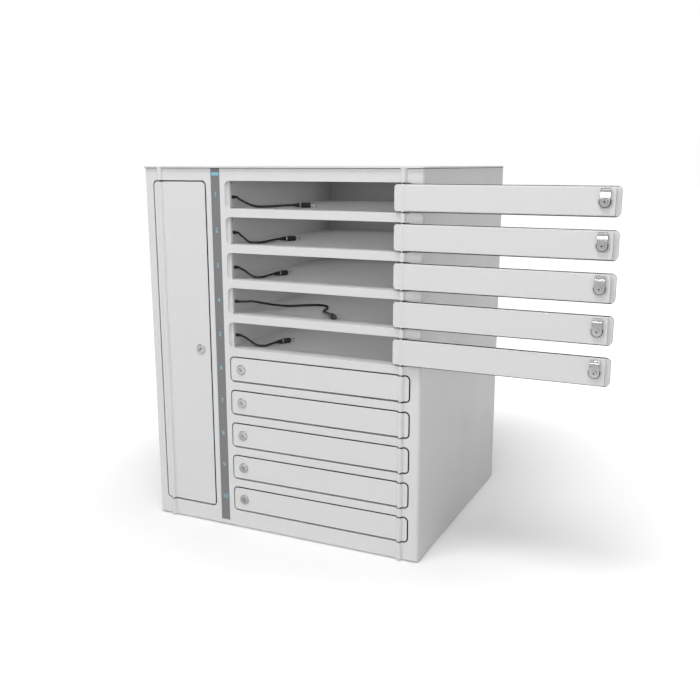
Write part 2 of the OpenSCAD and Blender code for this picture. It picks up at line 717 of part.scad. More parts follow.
// The turning part of a cam lock: core with its key slot, cranked cam and bolt
module cam() {
    difference() {
        translate([0, 0, core_in - rim_h]) cylinder(h = cam_z - cam_seat + rim_h - core_in, r = core_r);
        translate([0, 0, core_in - rim_h]) rotate([0, 0, -45])
            cube([key_w, key_l, 2 * door_t], center = true);
    }
    translate([0, 0, cam_z + cam_t + cam_seat]) cylinder(h = bolt_h, r = bolt_r);
    corner = cam_corner;
    step = tip_z - cam_z;
    intersection() {
        translate([0, 0, tip_z - cut]) linear_extrude(cam_z - tip_z + cam_t + 2 * cut) {
            circle(cam_w / 2);
            translate([-cam_w / 2, -cam_reach + corner]) square([cam_w, cam_reach - corner]);
            translate([-cam_w / 2 + corner, -cam_reach]) square([cam_w - 2 * corner, corner + cut]);
            for (s = [-1, 1]) translate([s * (cam_w / 2 - corner), -cam_reach + corner]) circle(corner);
        }
        translate([-cam_w, 0, cam_z]) rotate([90, 0, 90]) linear_extrude(2 * cam_w) polygon([
            [cam_w, 0], [-cam_bend, 0], [-cam_bend + step, step], [-cam_reach - cut, step],
            [-cam_reach - cut, step + cam_t], [-cam_bend + step - cam_t / 2, step + cam_t],
            [-cam_bend - cam_t / 2, cam_t], [cam_w, cam_t]]);
    }
}

// A lead's own frame: the dividing wall's face, the front plane and the shelf of its bay
module at_route(i) { translate([wall_x, front_y, mouth_z(i)]) children(); }

function unit(v) = v / norm(v);
function heading(a) = [cos(a), sin(a), 0];
function along(p, k, a) = k == 0 ? [1, 0, 0]
    : k == len(p) - 1 ? heading(a) : unit(unit(p[k + 1] - p[k]) + unit(p[k] - p[k - 1]));

// A tube along a route that starts towards +X and ends along the plug's heading
tube_sides = 8;
module tube(p, a) {
    n = tube_sides;
    last = len(p) - 1;
    rings = [for (k = [0:last]) let (t = along(p, k, a), s = unit(cross(t, [0, 0, 1])), u = cross(s, t))
        for (j = [0:n - 1]) p[k] + lead_d / 2 * (cos(360 * j / n) * s + sin(360 * j / n) * u)];
    walls = [for (k = [0:last - 1], j = [0:n - 1])
        let (b = k * n + j, c = k * n + (j + 1) % n) each [[b, c, b + n], [c, c + n, b + n]]];
    caps = [for (j = [1:n - 2]) each [[0, j + 1, j], [last * n, last * n + j, last * n + j + 1]]];
    polyhedron(points = rings, faces = concat(walls, caps));
}

// A barrel plug along Z: bend relief, pale ring, grip, collar and hollow metal barrel
grip_edge = 1;
collar_step = 0.8;
collar_side = 4.2;
relief_r1 = 2.9;
relief_r2 = 4.9;
ring_step = 0.1;
bore_share = 0.45;
module plug() {
    z1 = relief_l;
    z2 = z1 + ring_l;
    z3 = z2 + grip_l;
    z4 = z3 + collar_step;
    z5 = z4 + barrel_l;
    ring_r = relief_r2 - ring_step;
    rotate_extrude($fn = 64) polygon([[0, 0], [relief_r1, 0], [relief_r2, z1 - grip_edge], [relief_r2, z1],
        [ring_r, z1], [ring_r, z2], [grip_r - grip_edge, z2], [grip_r, z2 + grip_edge],
        [grip_r, z3 - grip_edge], [grip_r - grip_edge, z3], [collar_side, z3], [collar_side, z4],
        [barrel_r, z4], [barrel_r, z5], [barrel_r * bore_share, z5], [barrel_r * bore_share, z4], [0, z4]]);
}

side_panel_left();
side_panel_right();
centre_stile();
front_rails();
top_plate();
base_frame();
rear_panel();
divider_wall();
bay_back_wall();
shelves();
indicator_strip();
hinge_rods();
cable_grommets();
power_strip();
mains_inlet();
power_adapters();
panel_screws();
for (i = [1:bays]) {
    door_panel(i);
    lock_barrel(i);
    lock_cam(i);
}
service_door();
service_lock_barrel();
service_lock_cam();
for (i = [1:open_bays]) {
    charging_lead(i);
    lead_plug(i);
}
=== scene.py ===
import math

import bmesh
import bpy
from mathutils import Matrix, Vector


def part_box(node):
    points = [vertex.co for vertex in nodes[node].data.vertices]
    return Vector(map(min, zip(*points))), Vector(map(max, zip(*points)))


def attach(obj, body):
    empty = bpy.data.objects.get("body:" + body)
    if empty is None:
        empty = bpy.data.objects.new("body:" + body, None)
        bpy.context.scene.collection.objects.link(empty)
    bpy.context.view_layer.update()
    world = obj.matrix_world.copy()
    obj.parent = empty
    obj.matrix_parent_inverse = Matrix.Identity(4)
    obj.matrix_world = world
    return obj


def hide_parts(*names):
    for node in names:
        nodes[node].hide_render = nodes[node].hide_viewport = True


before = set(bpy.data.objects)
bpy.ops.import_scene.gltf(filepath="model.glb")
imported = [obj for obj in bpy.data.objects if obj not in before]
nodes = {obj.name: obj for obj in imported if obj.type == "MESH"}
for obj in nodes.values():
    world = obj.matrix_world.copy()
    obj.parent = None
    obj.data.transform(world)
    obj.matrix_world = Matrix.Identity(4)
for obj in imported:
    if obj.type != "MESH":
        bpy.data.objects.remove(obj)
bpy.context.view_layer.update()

# The view of the photograph
# The camera stands a little above the lid, to the right of the cabinet and in front of it. Its place,
# its two angles and its lens were solved from the cabinet's straight edges.
front_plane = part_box("centre_stile")[0].y
CAMERA_PLACE = Vector((0.8851, front_plane - 1.5346, 0.8086))
CAMERA_TURN = math.radians(24.958)
CAMERA_DIP = math.radians(12.319)
CAMERA_LENS = 43.787
CAMERA_SENSOR = 36.0
sight = Vector((-math.sin(CAMERA_TURN) * math.cos(CAMERA_DIP),
                math.cos(CAMERA_TURN) * math.cos(CAMERA_DIP),
                -math.sin(CAMERA_DIP)))
camera = bpy.data.objects.new("camera", bpy.data.cameras.new("camera"))
camera.location = CAMERA_PLACE
camera.rotation_euler = sight.to_track_quat("-Z", "Y").to_euler()
camera.data.lens = CAMERA_LENS
camera.data.sensor_width = CAMERA_SENSOR
bpy.context.scene.collection.objects.link(camera)
bpy.context.scene.camera = camera

# Charging leads
# Round black leads, 5 mm thick, that come out of the grommets in the dividing wall and lie on the bay
# floors. Each is one smooth curve through the route of its CAD solid, and ends in a barrel plug.
MM = 0.001
OPEN_BAYS = 5
LEAD_D = 5 * MM
LEAD_HANDLE = 3.5 * MM
LEAD_SIDES, LEAD_STEPS = 5, 10
SHEATH = (0.018, 0.018, 0.019, 1)
wall_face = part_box("divider_wall")[1].x
DOOR_GAP = 2.2 * MM
# Each point is in millimetres: right of the wall, back from the front plane, and up from the bay floor
NOSE_END = (9, 36, 22.9)
LEAD_ROUTES = [
    [NOSE_END, (17.9, 37, 17.4), (29, 40, 11.9), (38.4, 46, 6.8), (44.6, 54, 3.8), (50.7, 62, 2.6),
     (59.7, 69, 2.6), (73.2, 76, 3), (82.9, 82, 3.8), (96.9, 87, 4.7), (115.8, 91.7, 5.6)],
    [NOSE_END, (16, 37, 18.3), (23.4, 39, 12.2), (30.4, 42, 5.6), (38, 41.5, 2.7),
     (48, 40.5, 2.6), (56.5, 44.5, 2.6), (60.6, 55, 2.6), (61.2, 72, 3), (61.1, 90, 3.6),
     (64.5, 102, 4.6), (69.5, 112, 5.6)],
    [NOSE_END, (16.4, 37, 19.8), (24.5, 38.5, 15.7), (31.9, 40.5, 10), (39.4, 43, 4.9),
     (48.8, 43.5, 2.6), (57.2, 49, 2.6), (61.8, 60, 3.3), (64.4, 75, 4.6), (67.5, 88.9, 5.6)],
    [NOSE_END, (24.3, 40, 23.4), (34.1, 46, 23.6), (42.1, 55, 21.5), (48.9, 66, 18.2),
     (54.4, 80, 14.6), (59.1, 95, 10.7), (63, 112, 7.3), (69.5, 128, 4.1), (79.9, 140.5, 2.6),
     (93.1, 151.9, 2.6), (106.7, 163, 2.6), (121, 173.4, 2.6), (137.2, 178.3, 2.6),
     (152.5, 173.5, 2.6), (165, 157.5, 2.6), (172.6, 136.5, 2.6), (177.3, 117.5, 2.6),
     (183.5, 103, 3.4), (191.8, 90.2, 4.3), (202.8, 77.8, 5.2), (215.2, 65.4, 5.6)],
    [NOSE_END, (17.3, 37, 20.2), (25.5, 38.5, 16), (33.1, 40.5, 10.6), (41.3, 41.5, 5.6),
     (50.8, 41, 2.6), (60.6, 41.3, 2.6), (68.4, 47, 2.6), (72.9, 57, 4), (76.1, 68, 5),
     (78.2, 75.5, 5.6)]]
PLUG_HEADINGS = [28, 50, 70, -48, 67]
FINE_DETAIL, BROAD_DETAIL, BROAD_SCALE = 3, 4, 14
BROAD_RANGE = (0.35, 0.65)


def new_piece(name, data):
    """Puts a mesh, a curve or a lamp into the scene as an object of its own."""
    piece = bpy.data.objects.new(name, data)
    bpy.context.scene.collection.objects.link(piece)
    return piece


def new_material(name):
    """A material with one Principled shader, and its node tree and that shader."""
    material = bpy.data.materials.new(name)
    material.use_nodes = True
    return material, material.node_tree, material.node_tree.nodes["Principled BSDF"]


def grain_group():
    """Fine grain from noise: a value that varies over the surface, and a normal for the bumps."""
    group = bpy.data.node_groups.new("fine_grain", "ShaderNodeTree")
    for name, kind, start in (("Size", "NodeSocketFloat", 1.0), ("Depth", "NodeSocketFloat", 0.1),
                              ("Low", "NodeSocketFloat", 0.3), ("High", "NodeSocketFloat", 0.5)):
        socket = group.interface.new_socket(name, in_out="INPUT", socket_type=kind)
        socket.default_value = start
    group.interface.new_socket("Roughness", in_out="OUTPUT", socket_type="NodeSocketFloat")
    group.interface.new_socket("Normal", in_out="OUTPUT", socket_type="NodeSocketVector")
    tree, links = group.nodes, group.links
    entry, leave = tree.new("NodeGroupInput"), tree.new("NodeGroupOutput")
    place = tree.new("ShaderNodeTexCoord")
    scale = tree.new("ShaderNodeMath")
    scale.operation = "DIVIDE"
    scale.inputs[0].default_value = 1.0
    links.new(entry.outputs["Size"], scale.inputs[1])
    fine, broad = tree.new("ShaderNodeTexNoise"), tree.new("ShaderNodeTexNoise")
    fine.inputs["Detail"].default_value = FINE_DETAIL
    broad.inputs["Scale"].default_value = BROAD_SCALE
    broad.inputs["Detail"].default_value = BROAD_DETAIL
    links.new(place.outputs["Object"], fine.inputs["Vector"])
    links.new(place.outputs["Object"], broad.inputs["Vector"])
    links.new(scale.outputs[0], fine.inputs["Scale"])
    spread = tree.new("ShaderNodeMapRange")
    links.new(broad.outputs["Fac"], spread.inputs["Value"])
    spread.inputs["From Min"].default_value, spread.inputs["From Max"].default_value = BROAD_RANGE
    links.new(entry.outputs["Low"], spread.inputs["To Min"])
    links.new(entry.outputs["High"], spread.inputs["To Max"])
    bump = tree.new("ShaderNodeBump")
    bump.inputs["Strength"].default_value = 1.0
    links.new(entry.outputs["Depth"], bump.inputs["Distance"])
    links.new(fine.outputs["Fac"], bump.inputs["Height"])
    links.new(spread.outputs["Result"], leave.inputs["Roughness"])
    links.new(bump.outputs["Normal"], leave.inputs["Normal"])
    return group


fine_grain = grain_group()


def finish_with_grain(tree, shader, grain, depth, rough):
    """Adds fine grain to a shader. The grain's size and depth are in metres, and rough is a range."""
    node = tree.nodes.new("ShaderNodeGroup")
    node.node_tree = fine_grain
    for name, value in (("Size", grain), ("Depth", depth), ("Low", rough[0]), ("High", rough[1])):
        node.inputs[name].default_value = value
    tree.links.new(node.outputs["Roughness"], shader.inputs["Roughness"])
    tree.links.new(node.outputs["Normal"], shader.inputs["Normal"])


def plain_finish(name, colour, grain, depth, rough, metallic=0.0):
    """A finish of one colour with fine grain, such as a moulded plastic, a rubber or a plated steel."""
    material, tree, shader = new_material(name)
    shader.inputs["Base Color"].default_value = colour
    shader.inputs["Metallic"].default_value = metallic
    finish_with_grain(tree, shader, grain, depth, rough)
    return material


def bay_floor(i):
    """The height of a bay's floor, worked out from its shut or open door."""
    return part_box(f"door_panel_{i}")[0].z - DOOR_GAP


def lead_point(i, offset):
    return Vector((wall_face, front_plane, bay_floor(i))) + Vector(offset) * MM


lead_sheath = plain_finish("lead_sheath", SHEATH, grain=0.6 * MM, depth=0.02 * MM, rough=(0.38, 0.55))
leads = {}
for i in range(1, OPEN_BAYS + 1):
    points = [lead_point(i, offset) for offset in LEAD_ROUTES[i - 1]]
    line = bpy.data.curves.new(f"lead_{i}", "CURVE")
    line.dimensions = "3D"
    line.bevel_depth = LEAD_D / 2
    line.bevel_resolution = LEAD_SIDES
    line.resolution_u = LEAD_STEPS
    line.use_fill_caps = True
    spline = line.splines.new("BEZIER")
    spline.bezier_points.add(len(points) - 1)
    for knot, point in zip(spline.bezier_points, points):
        knot.co = point
        knot.handle_left_type = knot.handle_right_type = "AUTO"
    lead = new_piece(f"lead_{i}", line)
    bpy.context.view_layer.update()
    heading = math.radians(PLUG_HEADINGS[i - 1])
    ends = ((spline.bezier_points[0], Vector((1, 0, 0))),
            (spline.bezier_points[-1], Vector((math.cos(heading), math.sin(heading), 0))))
    for knot, way in ends:
        knot.handle_left_type = knot.handle_right_type = "FREE"
        knot.handle_left = knot.co - way * LEAD_HANDLE
        knot.handle_right = knot.co + way * LEAD_HANDLE
    line.materials.append(lead_sheath)
    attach(lead, "cabinet")
    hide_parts(f"charging_lead_{i}")
    leads[i] = lead

# Barrel plugs
# A moulded plug with a ribbed bend relief, a pale ring, a black grip with shallow rings, and a bright
# hollow barrel. It is turned round its own line, and takes the place of the plain CAD plug.
RELIEF_L, RING_L, GRIP_L, COLLAR_L, BARREL_L = 15 * MM, 2.5 * MM, 20 * MM, 0.8 * MM, 12 * MM
RELIEF_R1, RELIEF_R2, RING_R, GRIP_R = 2.9 * MM, 4.9 * MM, 4.8 * MM, 5.5 * MM
COLLAR_R, BARREL_R, BORE_R = 4.2 * MM, 2.75 * MM, 1.6 * MM
TIP_L = 1.2 * MM
RIBS, RIB_OUT, RIB_IN = 5, 0.1 * MM, 0.5 * MM
GROOVES, GROOVE_START, GROOVE_STEP, GROOVE_DEPTH = 5, 0.24, 0.12, 0.35 * MM
PLUG_STEPS, TURNED_SHADE = 40, math.radians(35)
PLUG_BLACK = (0.02, 0.02, 0.021, 1)
NICKEL = (0.72, 0.71, 0.69, 1)
RING_GREY = (0.55, 0.55, 0.55, 1)
BORE_DARK = (0.02, 0.018, 0.015, 1)


def mesh_of(name, bm, materials):
    """Makes a mesh of a finished bmesh, and gives it its materials."""
    mesh = bpy.data.meshes.new(name)
    bm.to_mesh(mesh)
    bm.free()
    for material in materials:
        mesh.materials.append(material)
    return mesh


def turned(name, outline, steps, materials):
    """A closed body of revolution round Z. The outline is a list of (radius, height, material)."""
    bm = bmesh.new()
    ring = [bm.verts.new((r, 0, z)) for r, z, _ in outline]
    edges = [bm.edges.new(pair) for pair in zip(ring, ring[1:])]
    index = {frozenset((round(a.co.z, 7), round(a.co.x, 7), round(b.co.z, 7), round(b.co.x, 7))): o[2]
             for a, b, o in zip(ring, ring[1:], outline[1:])}
    bmesh.ops.spin(bm, geom=ring + edges, cent=(0, 0, 0), axis=(0, 0, 1), angle=2 * math.pi,
                   steps=steps, use_merge=True)
    bmesh.ops.remove_doubles(bm, verts=bm.verts, dist=0.001 * MM)
    bmesh.ops.recalc_face_normals(bm, faces=bm.faces)
    for face in bm.faces:
        low = min(face.verts, key=lambda v: (v.co.z, v.co.xy.length))
        high = max(face.verts, key=lambda v: (v.co.z, v.co.xy.length))
        key = frozenset((round(low.co.z, 7), round(low.co.xy.length, 7),
                         round(high.co.z, 7), round(high.co.xy.length, 7)))
        face.material_index = index.get(key, 0)
        face.smooth = True
    mesh = mesh_of(name, bm, materials)
    mesh.set_sharp_from_angle(angle=TURNED_SHADE)
    return mesh


def plug_outline():
    """Radius, height and finish along the plug: 0 black, 1 nickel, 2 pale ring, 3 dark bore."""
    black, nickel, pale, dark = 0, 1, 2, 3
    line = [(0, 0, black), (RELIEF_R1, 0, black)]
    pitch = (RELIEF_L - 1.6 * MM) / RIBS
    for k in range(RIBS):
        r = RELIEF_R1 + (RELIEF_R2 - RELIEF_R1) * (k + 0.5) / RIBS
        z = k * pitch
        line += [(r, z + 0.15 * pitch, black), (r + RIB_OUT, z + 0.3 * pitch, black),
                 (r + RIB_OUT, z + 0.6 * pitch, black), (r - RIB_IN, z + 0.68 * pitch, black),
                 (r - RIB_IN, z + 0.92 * pitch, black)]
    z = RELIEF_L
    line += [(RELIEF_R2 - 0.2 * MM, z - 1.4 * MM, black), (RELIEF_R2, z - 1.2 * MM, black),
             (RELIEF_R2, z - 0.1 * MM, black), (RING_R, z, pale), (RING_R, z + RING_L, pale)]
    z += RING_L
    line += [(GRIP_R - 0.8 * MM, z, black), (GRIP_R - 0.2 * MM, z + 0.3 * MM, black),
             (GRIP_R, z + 1 * MM, black)]
    for k in range(GROOVES):
        groove = z + GRIP_L * (GROOVE_START + GROOVE_STEP * k)
        line += [(GRIP_R, groove, black), (GRIP_R - GROOVE_DEPTH, groove + 0.3 * MM, black),
                 (GRIP_R - GROOVE_DEPTH, groove + 0.9 * MM, black), (GRIP_R, groove + 1.2 * MM, black)]
    z += GRIP_L
    line += [(GRIP_R, z - 1 * MM, black), (GRIP_R - 0.3 * MM, z - 0.25 * MM, black),
             (GRIP_R - 1 * MM, z, black), (COLLAR_R, z, black), (COLLAR_R, z + COLLAR_L, black),
             (BARREL_R, z + COLLAR_L, black)]
    z += COLLAR_L
    end = z + BARREL_L
    line += [(BARREL_R, end - TIP_L, nickel), (BARREL_R - 0.25 * MM, end - TIP_L, black),
             (BARREL_R - 0.25 * MM, end - 0.3 * MM, black), (BARREL_R - 0.5 * MM, end, black),
             (BORE_R, end, black), (BORE_R, z + 0.5 * MM, dark), (0, z + 0.5 * MM, dark)]
    return line


plug_finishes = [
    plain_finish("plug_grip", PLUG_BLACK, grain=0.3 * MM, depth=0.015 * MM, rough=(0.32, 0.45)),
    plain_finish("plug_nickel", NICKEL, grain=0.2 * MM, depth=0.004 * MM, rough=(0.14, 0.24),
                 metallic=1.0),
    plain_finish("plug_ring", RING_GREY, grain=0.3 * MM, depth=0.01 * MM, rough=(0.35, 0.5)),
    plain_finish("plug_bore", BORE_DARK, grain=0.3 * MM, depth=0.01 * MM, rough=(0.4, 0.6))]
for i in range(1, OPEN_BAYS + 1):
    mesh = turned(f"plug_{i}", plug_outline(), PLUG_STEPS, plug_finishes)
    heading = Matrix.Rotation(math.radians(PLUG_HEADINGS[i - 1]), 4, "Z")
    laid = heading @ Matrix.Rotation(math.pi / 2, 4, "Y")
    mesh.transform(Matrix.Translation(lead_point(i, LEAD_ROUTES[i - 1][-1])) @ laid)
    plug = new_piece(f"plug_{i}", mesh)
    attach(plug, "cabinet")
    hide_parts(f"lead_plug_{i}")
    lead = leads[i]

# Painted sheet steel
# Every sheet of the cabinet is folded from mild steel and powder coated a light grey with a fine
# texture. The bends round the openings have a small radius, which takes the light as a bright line.
PAINT = (0.74, 0.74, 0.745, 1)
BEND_R = 0.6 * MM
RIM_R = 0.35 * MM
BEND_STEPS = 3
WELD = 0.002 * MM
FLAT, SHADE, SHARP = math.radians(0.5), math.radians(32), math.radians(50)
ASIDE, FACING = 0.02, 0.98
seams = [end.x for name in ("front_rails", "centre_stile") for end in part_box(name)]


def powder_coat():
    material, tree, shader = new_material("powder_coat")
    shader.inputs["Base Color"].default_value = PAINT
    shader.inputs["Coat Weight"].default_value = 0.08
    shader.inputs["Coat Roughness"].default_value = 0.3
    finish_with_grain(tree, shader, grain=0.9 * MM, depth=0.015 * MM, rough=(0.36, 0.44))
    return material


paint = powder_coat()


def skin_of(name):
    """A copy of a CAD piece's mesh as a bmesh: one closed skin, with its flat faces whole."""
    bm = bmesh.new()
    bm.from_mesh(nodes[name].data)
    bmesh.ops.remove_doubles(bm, verts=bm.verts, dist=WELD)
    bmesh.ops.dissolve_limit(bm, angle_limit=FLAT, use_dissolve_boundaries=False,
                             verts=bm.verts, edges=bm.edges)
    return bm


def round_edges(bm, chosen, radius, segments):
    """Rounds the chosen edges of a skin."""
    edges = [e for e in bm.edges if e.is_manifold and chosen(e)]
    bmesh.ops.bevel(bm, geom=edges, offset=radius, offset_type="OFFSET", affect="EDGES",
                    segments=segments, profile=0.5, material=-1, clamp_overlap=False)


def dress(name, body, bm, materials):
    """Makes a piece from a skin, and puts it in the place of the CAD piece."""
    for face in bm.faces:
        face.smooth = True
    mesh = mesh_of(name + ".dressed", bm, materials)
    mesh.set_sharp_from_angle(angle=SHADE)
    piece = new_piece(name + ".dressed", mesh)
    even = piece.modifiers.new("even_normals", "WEIGHTED_NORMAL")
    even.keep_sharp = True
    even.weight = 100
    bpy.context.view_layer.update()
    shaped = piece.evaluated_get(bpy.context.evaluated_depsgraph_get())
    piece.data = bpy.data.meshes.new_from_object(shaped)
    piece.modifiers.clear()
    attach(piece, body)
    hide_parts(name)


def paint_node(name, material):
    """Gives a CAD piece that keeps its own mesh a finish."""
    node = nodes[name]
    node.data.materials.clear()
    node.data.materials.append(material)


def at_front(edge):
    """True for a bend at the front plane, between the face and the side of an opening."""
    if any(abs(v.co.y - front_plane) > WELD for v in edge.verts):
        return False
    ways = sorted(abs(f.normal.y) for f in edge.link_faces)
    seam = any(abs(edge.verts[0].co.x - x) < WELD for x in seams)
    upright = abs(edge.verts[0].co.x - edge.verts[1].co.x) < WELD
    return ways[0] < ASIDE and ways[1] > FACING and not (seam and upright)


for name in ("centre_stile", "front_rails", "side_panel_left", "side_panel_right"):
    skin = skin_of(name)
    round_edges(skin, at_front, BEND_R, BEND_STEPS)
    dress(name, "cabinet", skin, [paint])


def sharp(edge):
    """True for an edge where two faces meet at a sharp angle."""
    return edge.calc_face_angle() > SHARP


plate = skin_of("top_plate")
round_edges(plate, sharp, RIM_R, BEND_STEPS)
dress("top_plate", "cabinet", plate, [paint])

# Painted shade under the lid
# A thin dark strip lies in the joint between the lid and the cabinet. It is painted shade: only its
# edge shows, as a fine dark line under the lid's overhang.
LID_SHADE_T, LID_SHADE_W, LID_SHADE_OUT, LID_SHADE_SINK = 1.1 * MM, 10 * MM, 0.2 * MM, 0.05 * MM
SHELL_CORNER, CORNER_STEPS = 6.5 * MM, 12
# Near-black colour of the strip, painted shade under the lid
LID_SHADE_DARK = (0.035, 0.035, 0.037, 1)
lid_shade_paint = plain_finish("lid_painted_shade", LID_SHADE_DARK, grain=0.5 * MM, depth=0.02 * MM, rough=(0.7, 0.85))
left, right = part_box("side_panel_left"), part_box("side_panel_right")
middle = (left[0] + right[1]) / 2
middle.z = right[1].z - LID_SHADE_T / 2 - LID_SHADE_SINK
size = (right[1].x - left[0].x + 2 * LID_SHADE_OUT, right[1].y - right[0].y + 2 * LID_SHADE_OUT, LID_SHADE_T)
bm = bmesh.new()
bmesh.ops.create_cube(bm, size=1, matrix=Matrix.Translation(middle) @ Matrix.Diagonal((*size, 1)))
bmesh.ops.bevel(bm, geom=[e for e in bm.edges if abs(e.verts[0].co.z - e.verts[1].co.z) > LID_SHADE_T / 2],
                offset=SHELL_CORNER, affect="EDGES", segments=CORNER_STEPS, profile=0.5, material=-1)
caps = [f for f in bm.faces if abs(f.normal.z) > FACING]
bmesh.ops.inset_individual(bm, faces=caps, thickness=LID_SHADE_W)
inner = list({e for f in caps for e in f.edges})
bmesh.ops.delete(bm, geom=caps, context="FACES_ONLY")
bmesh.ops.bridge_loops(bm, edges=inner)
bmesh.ops.recalc_face_normals(bm, faces=bm.faces)
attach(new_piece("lid_shade_line", mesh_of("lid_shade_line", bm, [lid_shade_paint])), "cabinet")

# Inner sheets and back
# The plinth, the rear panel, the bay floors and the walls between them are flat painted sheets.
for name in ("base_frame", "rear_panel", "divider_wall", "bay_back_wall", "shelves"):
    paint_node(name, paint)

# Indicator strip
# A satin grey strip lies in the post's channel. It carries the plain numbers of the bays in light
# blue, each at the middle of its door, and a plain light blue bar near the top.
BAYS = 10
STRIP_GREY = (0.197, 0.198, 0.203, 1)
STRIP_BLUE = (0.25, 0.56, 0.7, 1)
NUMBER_SIZE = 13.5 * MM
PRINT_T, PRINT_SPREAD = 0.06 * MM, 0.12 * MM
BAR_SIZE, BAR_CORNER, BAR_STEPS = (18 * MM, 6.5 * MM), 1 * MM, 4
BAR_Z = 788.5 * MM
strip_paint = plain_finish("strip_grey", STRIP_GREY, grain=0.5 * MM, depth=0.006 * MM,
                           rough=(0.36, 0.46))
print_blue = plain_finish("strip_print", STRIP_BLUE, grain=0.4 * MM, depth=0.004 * MM,
                          rough=(0.34, 0.42))
paint_node("indicator_strip", strip_paint)
strip_low, strip_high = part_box("indicator_strip")
strip_x = (strip_low.x + strip_high.x) / 2


def printed(name, mesh, x, z):
    """Lays a flat mesh, made facing +Z, on the strip's front face."""
    mesh.transform(Matrix.Translation((x, strip_low.y, z)) @ Matrix.Rotation(math.pi / 2, 4, "X"))
    mesh.materials.clear()
    mesh.materials.append(print_blue)
    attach(new_piece(name, mesh), "cabinet")


for i in range(1, BAYS + 1):
    text = bpy.data.curves.new(f"bay_number_{i}", "FONT")
    text.body = str(i)
    text.size = NUMBER_SIZE
    text.extrude = PRINT_T
    text.offset = PRINT_SPREAD
    text.align_x = "CENTER"
    text.align_y = "CENTER"
    drawn = new_piece(f"number_{i}", text)
    bpy.context.view_layer.update()
    mesh = bpy.data.meshes.new_from_object(drawn)
    bpy.data.objects.remove(drawn)
    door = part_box(f"door_panel_{i}")
    printed(f"bay_number_{i}", mesh, strip_x, (door[0].z + door[1].z) / 2)
bm = bmesh.new()
bmesh.ops.create_cube(bm, size=1, matrix=Matrix.Diagonal((*BAR_SIZE, 2 * PRINT_T, 1)))
bmesh.ops.bevel(bm, geom=[e for e in bm.edges if abs(e.verts[0].co.z - e.verts[1].co.z) > PRINT_T],
                offset=BAR_CORNER, affect="EDGES", segments=BAR_STEPS, profile=0.5, material=-1)
printed("strip_bar", mesh_of("strip_bar", bm, []), strip_x, BAR_Z)

# Hinge rods
# Two blackened steel rods hang the doors. Each runs down through every knuckle of its column.
BLACKENED = (0.012, 0.012, 0.012, 1)
blackened = plain_finish("blackened_steel", BLACKENED, grain=0.4 * MM, depth=0.006 * MM,
                         rough=(0.45, 0.6))
paint_node("hinge_rods", blackened)

# Doors
# Each door is a hemmed steel skin with a rolled knuckle, and a shallow pan welded to its inside. The
# skin's hem and the pan's bends are rounded. The rim of the skin and thin strips along the top and
# bottom of its flange at the back are painted near-black as shade, for dark gaps and flange lines.
HEM_R = 0.7 * MM
LARGE_FACE = 60 * MM * MM
SKIN_T, CORNER = 6 * MM, 8.5 * MM
# Near-black painted shade for the gaps round the doors and the flange lines at their back
GAP_SHADE_DARK = (0.012, 0.012, 0.013, 1)
SHADE_STRIP_TOP, SHADE_STRIP_FOOT, RIM_DEPTH = 1 * MM, 1.6 * MM, 0.2 * MM
doors = {f"door_panel_{i}": f"door_{i}" for i in range(1, BAYS + 1)}
doors["service_door"] = "service_door"


def around_flat(edge):
    """True for an edge between a door's large flat face and its rim."""
    flats = [f for f in edge.link_faces if abs(f.normal.y) > FACING and f.calc_area() > LARGE_FACE]
    rims = [f for f in edge.link_faces if abs(f.normal.y) < ASIDE]
    level = abs(edge.verts[0].co.y - edge.verts[1].co.y) < WELD
    pan_top = abs(edge.verts[0].co.y - front_plane) > SKIN_T and any(f.normal.z > 0.5 for f in rims)
    return len(flats) == 1 and len(rims) == 1 and level and not pan_top


def on_rim(face, low, high):
    """True for the faces painted dark as shade: the skin's rim, and strips along the top and bottom of
    its flange at the back.
    """
    middle, half = face.calc_center_median() - (low + high) / 2, (high - low) / 2
    past_x, past_z = (max(abs(middle[k]) - half[k] + CORNER, 0) for k in (0, 2))
    inset = CORNER - math.hypot(past_x, past_z)
    in_skin = all(abs(v.co.y - front_plane) < SKIN_T for v in face.verts)
    way = 1 if middle.y + (low.y + high.y) / 2 > front_plane else -1
    inside = face.normal.y * way > 0.1
    in_shade_strip = inside and (middle.z > half.z - SHADE_STRIP_TOP or middle.z < SHADE_STRIP_FOOT - half.z)
    return (abs(face.normal.z) > 0.9 and inset < RIM_DEPTH
            or in_skin and (in_shade_strip or abs(face.normal.y) < 0.97 and inset < HEM_R and not inside))


# The finish of the painted shade on the door rims and flange strips
painted_gap_shade = plain_finish("painted_gap_shade", GAP_SHADE_DARK, grain=0.5 * MM, depth=0.01 * MM, rough=(0.72, 0.85))
for name, body in doors.items():
    skin = skin_of(name)
    round_edges(skin, around_flat, HEM_R, BEND_STEPS)
    low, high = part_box(name)
    for level in (low.z + SHADE_STRIP_FOOT, high.z - SHADE_STRIP_TOP):
        bmesh.ops.bisect_plane(skin, geom=skin.verts[:] + skin.edges[:] + skin.faces[:],
                               plane_co=(0, 0, level), plane_no=(0, 0, 1))
    for face in skin.faces:
        # The rim and the flange strips take the painted shade
        face.material_index = 1 if on_rim(face, low, high) else 0
    dress(name, body, skin, [paint, painted_gap_shade])

# Locks
# A cam lock has a domed chrome rim, a threaded body and a nut, all fixed to the door. Its core turns
# with the key and carries a cranked plate, held by a bolt on a washer, that catches behind the post.
# Black pieces here are painted shade: a ring between the nut and the cam is the cam plate's shadow, and a
# plate sunk in the key slot and a cross in the bolt head are the shade in those hollows.
CHROME = (0.38, 0.38, 0.388, 1)
CAM_STEEL = (0.36, 0.363, 0.37, 1)
